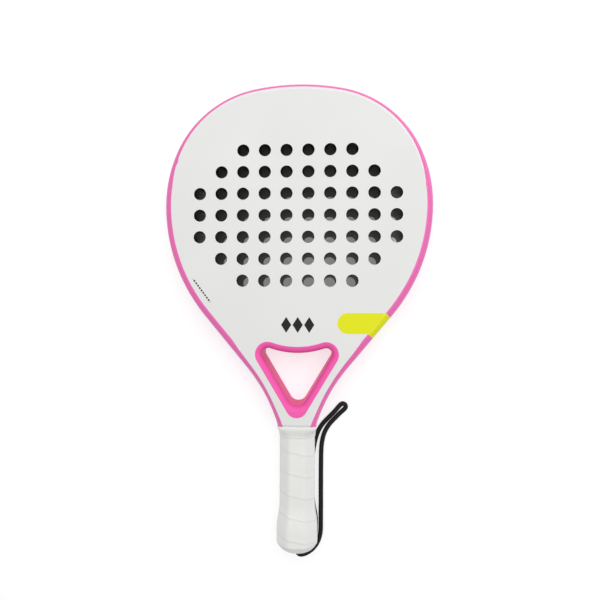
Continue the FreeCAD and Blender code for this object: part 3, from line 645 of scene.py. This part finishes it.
def rim_lacquer():
    """Pink lacquer, painted a deeper pink on the upright inner wall as painted shade of the recess.
    """
    material, tree, shader = new_finish("pink_polyurethane_lacquer", {
        "Roughness": 0.4, "IOR": 1.5, "Specular IOR Level": 0.12})
    place = add_node(tree, "ShaderNodeTexCoord")
    flat_share = add_node(tree, "ShaderNodeMapRange", {"interpolation_type": "SMOOTHSTEP"}, {
        "Value": level_share(tree, place), "From Min": 0.0, "From Max": 0.8})
    # Painted shade: the upright wall gets the deeper pink, the flats the plain pink.
    tone = add_node(tree, "ShaderNodeMix", {"data_type": "RGBA"}, {
        0: flat_share.outputs[0], 6: linear("#EA4494"), 7: linear("#EE5EAC")})
    tree.links.new(tone.outputs[2], shader.inputs["Base Color"])
    add_grain(tree, shader, place.outputs["Object"], ORANGE_PEEL, 0.006 * MM)
    return material


finishes = {
    "frame_tube": frame_lacquer(),
    "front_face": skin_lacquer(),
    "foam_core": grained("black_eva_foam", {
        "Base Color": linear("#070707"), "Roughness": 0.4, "Specular IOR Level": 0.3},
        0.5 * MM, 0.02 * MM),
    "throat_rim": rim_lacquer(),
    "throat_bridge": grained("moulded_carbon_laminate", {
        "Base Color": linear("#151517"), "Roughness": 0.35}, 1.5 * MM, 0.02 * MM),
    "bridge_foam": grained("white_pu_foam", {
        "Base Color": linear("#DAD6C8"), "Roughness": 0.85}, 0.6 * MM, 0.08 * MM),
    "base_grip": grained("black_cushion_grip", {
        "Base Color": linear("#1A1A1B"), "Roughness": 0.7}, 0.8 * MM, 0.05 * MM),
}
finishes["back_face"] = finishes["front_face"]
for name in ("pallet_front", "pallet_back", "tail_plug_left", "tail_plug_right"):
    finishes[name] = finishes["bridge_foam"]
finishes["cord_knot"] = grained("black_polyester_knot", {
    "Base Color": linear("#161618"), "Roughness": 0.62, "Sheen Weight": 0.25}, 0.7 * MM, 0.1 * MM)

for name, finish in finishes.items():
    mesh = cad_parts[name].data
    mesh.materials.clear()
    mesh.materials.append(finish)
print("CAD parts with a finish:", len(finishes))

# %% [markdown]
# ## Rolled edges of the holes
#
# Wet lacquer draws back from a sharp drilled edge and dries as a thin bead round it. That bead
# catches the light as a fine bright ring. It could be faked in the colour, but a ring that really
# stands up also shows from the side; its coat is still painted a lighter white than the skins'
# as a painted highlight. One small circle is spun round a hole's axis, and the result is copied
# to each hole of the pattern.

# %% Hole lips
HOLE_ROWS = (6, 8, 10, 10, 10, 8, 6)
HOLE_PITCH = 21.0 * MM
HOLE_RADIUS = 6.0 * MM
HOLE_GRID_HEIGHT = 98.2 * MM
BEAD_RADIUS = 0.32 * MM
BEAD_SINK = 0.18 * MM
BEAD_OFFSET = 0.2 * MM


def hole_centres():
    """Middle of each hole, in rows that are even about the middle row."""
    for row, count in enumerate(HOLE_ROWS):
        for column in range(count):
            across = (column - (count - 1) / 2) * HOLE_PITCH
            yield across, HOLE_GRID_HEIGHT + (len(HOLE_ROWS) // 2 - row) * HOLE_PITCH


def hole_beads(level):
    """One bead for every hole, centred at this height."""
    bm = bmesh.new()
    profile = bmesh.ops.create_circle(
        bm, segments=8, radius=BEAD_RADIUS,
        matrix=Matrix.Translation((HOLE_RADIUS + BEAD_OFFSET, 0, level))
        @ Matrix.Rotation(math.pi / 2, 4, "X"))
    bmesh.ops.spin(bm, geom=profile["verts"] + list(bm.edges), cent=(0, 0, 0), axis=(0, 0, 1),
                   angle=2 * math.pi, steps=40, use_merge=True, dvec=(0, 0, 0))
    bmesh.ops.remove_doubles(bm, verts=bm.verts, dist=0.001 * MM)
    bmesh.ops.recalc_face_normals(bm, faces=bm.faces)
    pattern = list(bm.verts) + list(bm.edges) + list(bm.faces)
    for across, height in hole_centres():
        copied = bmesh.ops.duplicate(bm, geom=pattern)["geom"]
        verts = [v for v in copied if isinstance(v, bmesh.types.BMVert)]
        bmesh.ops.translate(bm, verts=verts, vec=(across, height, 0))
    bmesh.ops.delete(bm, geom=[v for v in pattern if isinstance(v, bmesh.types.BMVert)],
                     context="VERTS")
    return bm


# Painted highlight: the bead's white is lighter than the skins' coat of the same lacquer.
bead_lacquer = grained("white_lacquer_bead", {
    "Base Color": linear("#EDEDEC"), "Roughness": 0.3, "IOR": 1.5}, ORANGE_PEEL, 0.002 * MM)
for label, level in (("front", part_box("front_face")[1].z - BEAD_SINK),
                     ("back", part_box("back_face")[0].z + BEAD_SINK)):
    beads = add_piece(f"hole_beads_{label}", hole_beads(level), bead_lacquer,
                      "racket")
    print(beads.name, "faces:", len(beads.data.polygons))

# %% [markdown]
# ## The handle's ring
#
# Overgrip, tape and cap all follow the same octagon with soft corners. It is drawn once as eight
# points, its corners are bevelled, and its long sides are divided so that later folds have
# points to move. Each piece starts from that ring and is extruded along the handle.

# %% Octagon ring
GRIP_HALF_WIDTH = 17.25 * MM
GRIP_HALF_HEIGHT = 15.0 * MM
GRIP_BEVEL = 9.5 * MM
CORNER_OFFSET = 2.1 * MM
LONG_SIDE = 2.5 * MM


def octagon_ring(bm, place, cuts):
    """Closed ring of edges in the handle's section at this place along Y."""
    wide, high, bevel = GRIP_HALF_WIDTH, GRIP_HALF_HEIGHT, GRIP_BEVEL
    quarter = ((wide, high - bevel), (wide - bevel, high))
    corners = []
    for x_sign, z_sign, order in ((1, 1, 1), (-1, 1, -1), (-1, -1, 1), (1, -1, -1)):
        for x, z in quarter[::order]:
            corners.append(bm.verts.new((x_sign * x, place, AXIS_HEIGHT + z_sign * z)))
    bm.faces.new(corners)
    bmesh.ops.bevel(bm, geom=corners, offset=CORNER_OFFSET, offset_type="OFFSET", segments=6,
                    profile=0.5, affect="VERTICES", material=-1)
    long_sides = [e for e in bm.edges if e.calc_length() > LONG_SIDE]
    bmesh.ops.subdivide_edges(bm, edges=long_sides, cuts=cuts)
    bmesh.ops.delete(bm, geom=list(bm.faces), context="FACES_ONLY")
    return list(bm.edges)


def outward(vert):
    """Direction from the handle's axis to a point, square to the axis."""
    return Vector((vert.co.x, 0.0, vert.co.z - AXIS_HEIGHT)).normalized()


def ease(share):
    """Smooth step from 0 to 1."""
    share = min(max(share, 0.0), 1.0)
    return share * share * (3 - 2 * share)


FLARE_START = -180.0 * MM
FLARE_END = -206.0 * MM
FLARE_GROWTH = 2.65 * MM


def flare(place):
    """How far the handle has grown at this place along Y."""
    return FLARE_GROWTH * ease((place - FLARE_START) / (FLARE_END - FLARE_START))


# %% [markdown]
# ## The overgrip
#
# The overgrip is a strip of polyurethane film with a thin foam back, wound upwards from the butt.
# Each turn laps the one below by about three millimetres, so the surface has a spiral step: a
# quick rise at the strip's lower edge, then a slow fall above it. A winding could be a helix of
# its own, but its ends would need trimming. Here a fine tube is moved by the height of the lap
# at each point, and how near each point lies to the lap's edge is kept as an attribute, so that
# the finish can paint shade into the crease under the step.

# %% Overgrip
TURN_PITCH = 20.6 * MM
TURN_START = 0.354
LAP_WIDTH = 3.4 * MM
LAP_EDGE = 1.1 * MM
LAP_RISE = 0.17 * MM
GRIP_ROW = 0.56 * MM
CREASE_WIDTH = 0.55 * MM
HOLLOW_DEPTH = 0.03 * MM
FILM_THICKNESS = 0.6 * MM


def above_lap(vert):
    """Distance above the lower edge of the turn that a point lies on."""
    angle = math.atan2(vert.co.x, vert.co.z - AXIS_HEIGHT)
    return (vert.co.y / TURN_PITCH + angle / (2 * math.pi) + TURN_START) % 1.0 * TURN_PITCH


def lap_height(above):
    """Height of the lap at this distance above the strip's edge."""
    if above < LAP_EDGE:
        return LAP_RISE * ease(above / LAP_EDGE)
    return LAP_RISE * (1 - ease((above - LAP_EDGE) / (LAP_WIDTH - LAP_EDGE)))


def wound_grip():
    bm = bmesh.new()
    low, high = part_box("overgrip")
    ring = octagon_ring(bm, high.y, 7)
    rows = round((high.y - low.y) / GRIP_ROW)
    for _row in range(rows):
        ring, verts = extrude_ring(bm, ring)
        bmesh.ops.translate(bm, verts=verts, vec=(0, (low.y - high.y) / rows, 0))
    crease = bm.verts.layers.float.new("crease")
    for vert in bm.verts:
        above = above_lap(vert)
        hollow = HOLLOW_DEPTH * math.sin(2 * math.pi * above / TURN_PITCH)
        grown = flare(vert.co.y) + lap_height(above) - LAP_RISE * 0.5 + hollow
        near = min(above, TURN_PITCH - above)
        # The crease value marks where painted shade goes, next to the lap's edge.
        vert[crease] = math.exp(-(near / CREASE_WIDTH) ** 2)
        vert.co += outward(vert) * grown
    bmesh.ops.recalc_face_normals(bm, faces=bm.faces)
    return bm


def grip_film():
    material, tree, shader = new_finish("white_polyurethane_film", {
        "Roughness": 0.46, "IOR": 1.45, "Sheen Weight": 0.12, "Sheen Roughness": 0.5,
        "Subsurface Weight": 0.08, "Subsurface Scale": 0.6 * MM})
    place = add_node(tree, "ShaderNodeTexCoord")
    crease = add_node(tree, "ShaderNodeAttribute", {"attribute_name": "crease"})
    noise = add_grain(tree, shader, place.outputs["Object"], 0.55 * MM, 0.03 * MM)
    clouds = add_node(tree, "ShaderNodeTexNoise", {}, {
        "Vector": place.outputs["Object"], "Scale": 1 / (14 * MM), "Detail": 2.0})
    both = add_node(tree, "ShaderNodeMath", {"operation": "MULTIPLY"}, {
        0: noise.outputs["Fac"], 1: clouds.outputs["Fac"]})
    film = add_node(tree, "ShaderNodeMix", {"data_type": "RGBA"}, {
        0: both.outputs[0], 6: linear("#E0E0DD"), 7: linear("#F0F0EF")})
    # Painted shade: the crease under each lap's step is painted a darker grey.
    crease_shaded = add_node(tree, "ShaderNodeMix", {"data_type": "RGBA"}, {
        0: crease.outputs["Fac"], 6: film.outputs[2], 7: linear("#DBDBD8")})
    tree.links.new(crease_shaded.outputs[2], shader.inputs["Base Color"])
    return material


overgrip = add_piece("overgrip_winding", wound_grip(), grip_film(), "racket")
thickness = overgrip.modifiers.new("film thickness", "SOLIDIFY")
thickness.thickness = FILM_THICKNESS
thickness.offset = -1.0
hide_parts("overgrip")
print("overgrip faces:", len(overgrip.data.polygons))

# %% [markdown]
# ## The finishing tape
#
# A band of thin stretch tape holds the top of the grip. It covers the step from the wide neck,
# which is almost a rectangle, to the octagon of the grip, and the stretch pulls it into shallow
# creases along the handle. The ring is extruded up the handle, and each point is moved towards
# a rounded rectangle as it climbs.

# %% Finishing tape
TAPE_STEPS = 22
NECK_SQUARENESS = 7.0
TAPE_THICKNESS = 0.35 * MM
TAPE_STANDS_OFF = 0.5 * MM
TAPE_CREASE = 0.07 * MM
CREASES_ROUND = 23
CREASE_SLANT = 4
NECK_HASTE = 1.15


def neck_point(vert, half_width, half_height):
    """Point of the neck's rounded rectangle in the same direction from the axis."""
    way = outward(vert)
    reach = ((abs(way.x) / half_width) ** NECK_SQUARENESS
             + (abs(way.z) / half_height) ** NECK_SQUARENESS) ** (-1 / NECK_SQUARENESS)
    return Vector((way.x * reach, vert.co.y, AXIS_HEIGHT + way.z * reach))


def stretched_band():
    bm = bmesh.new()
    low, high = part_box("finishing_tape")
    half_width = (high.x - low.x) / 2
    half_height = (high.z - low.z) / 2
    ring = octagon_ring(bm, low.y, 7)
    for _step in range(TAPE_STEPS):
        ring, verts = extrude_ring(bm, ring)
        bmesh.ops.translate(bm, verts=verts, vec=(0, (high.y - low.y) / TAPE_STEPS, 0))
    for vert in bm.verts:
        climbed = (vert.co.y - low.y) / (high.y - low.y)
        angle = math.atan2(vert.co.x, vert.co.z - AXIS_HEIGHT)
        waves = math.sin(CREASES_ROUND * angle + CREASE_SLANT * climbed)
        creases = TAPE_CREASE * waves * math.sin(math.pi * climbed)
        snug = vert.co + outward(vert) * (TAPE_STANDS_OFF + creases)
        vert.co = snug.lerp(neck_point(vert, half_width, half_height), ease(climbed * NECK_HASTE))
    bmesh.ops.recalc_face_normals(bm, faces=bm.faces)
    return bm


tape = add_piece("finishing_band", stretched_band(), grained("white_stretch_tape", {
    "Base Color": linear("#EFEFEC"), "Roughness": 0.34, "IOR": 1.5, "Coat Weight": 0.1,
    "Coat Roughness": 0.25}, 1.2 * MM, 0.03 * MM), "racket")
tape_thickness = tape.modifiers.new("tape thickness", "SOLIDIFY")
tape_thickness.thickness = TAPE_THICKNESS
tape_thickness.offset = -1.0
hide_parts("finishing_tape")
print("tape faces:", len(tape.data.polygons))

# %% [markdown]
# ## The butt cap
#
# The cap is moulded plastic with a generous round at its end and a hole in the middle for the
# cord. Its ring is extruded down, drawn in along a quarter round while it turns into an oval,
# led to a circle at the hole and taken back inside, where it joins its own start. That makes one
# closed wall.

# %% Butt cap
CAP_TOP = -214.0 * MM
CAP_CORNER = 11.0 * MM
CAP_STEPS = 12
ROUNDING_START = -218.5 * MM
ROUNDING_END = -225.0 * MM
CAP_WALL = 1.2 * MM
CAP_INSET = 0.15 * MM
HOLE_EDGE = 5.6 * MM

# The hole from its mouth inwards: how far in, and how much wider than its edge, in millimetres.
HOLE_PROFILE = ((0.0, 1.0), (0.25, 0.3), (0.9, 0.0), (4.0, 0.0), (4.2, 2.3))


def drawn_in(vert, place, pull):
    """The flared octagon moved in by a pull, and turned into an oval towards the end."""
    way = outward(vert)
    corner = math.hypot(vert.co.x, vert.co.z - AXIS_HEIGHT)
    oval = 1 / math.hypot(way.x / GRIP_HALF_WIDTH, way.z / GRIP_HALF_HEIGHT)
    share = ease((place - ROUNDING_START) / (ROUNDING_END - ROUNDING_START))
    reach = corner + (oval - corner) * share + flare(CAP_TOP) - pull
    return Vector((0, place, AXIS_HEIGHT)) + way * reach


def round_hole(vert, place, radius):
    way = outward(vert)
    return Vector((way.x * radius, place, AXIS_HEIGHT + way.z * radius))


def moulded_cap():
    bm = bmesh.new()
    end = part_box("butt_cap")[0].y
    ring = octagon_ring(bm, CAP_TOP, 3)
    home = bm.verts.layers.float_vector.new("home")
    for vert in bm.verts:
        vert[home] = vert.co
    first_ring = list(ring)
    stops = [("wall", CAP_TOP, CAP_WALL), ("wall", CAP_TOP, CAP_INSET)]
    for step in range(CAP_STEPS + 1):
        angle = math.pi / 2 * step / CAP_STEPS
        stops.append(("wall", end + CAP_CORNER * (1 - math.sin(angle)),
                      CAP_CORNER * (1 - math.cos(angle)) + CAP_INSET))
    for inwards, wider in HOLE_PROFILE:
        stops.append(("hole", end + inwards * MM, HOLE_EDGE + wider * MM))
    stops.append(("hole", CAP_TOP, HOLE_EDGE + 2.4 * MM))
    placed = [(list(bm.verts), *stops[0])]
    for stop in stops[1:]:
        ring, verts = extrude_ring(bm, ring)
        placed.append((verts, *stop))
    for verts, kind, place, amount in placed:
        make = drawn_in if kind == "wall" else round_hole
        for vert in verts:
            vert.co = vert[home]
            vert.co = make(vert, place, amount)
    bmesh.ops.bridge_loops(bm, edges=first_ring + ring)
    bmesh.ops.recalc_face_normals(bm, faces=bm.faces)
    return bm


cap = add_piece("butt_cap_shell", moulded_cap(), grained("white_abs", {
    "Base Color": linear("#E6E6E3"), "Roughness": 0.4, "IOR": 1.5}, 0.8 * MM, 0.01 * MM),
    "racket")
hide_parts("butt_cap")
print("cap faces:", len(cap.data.polygons))
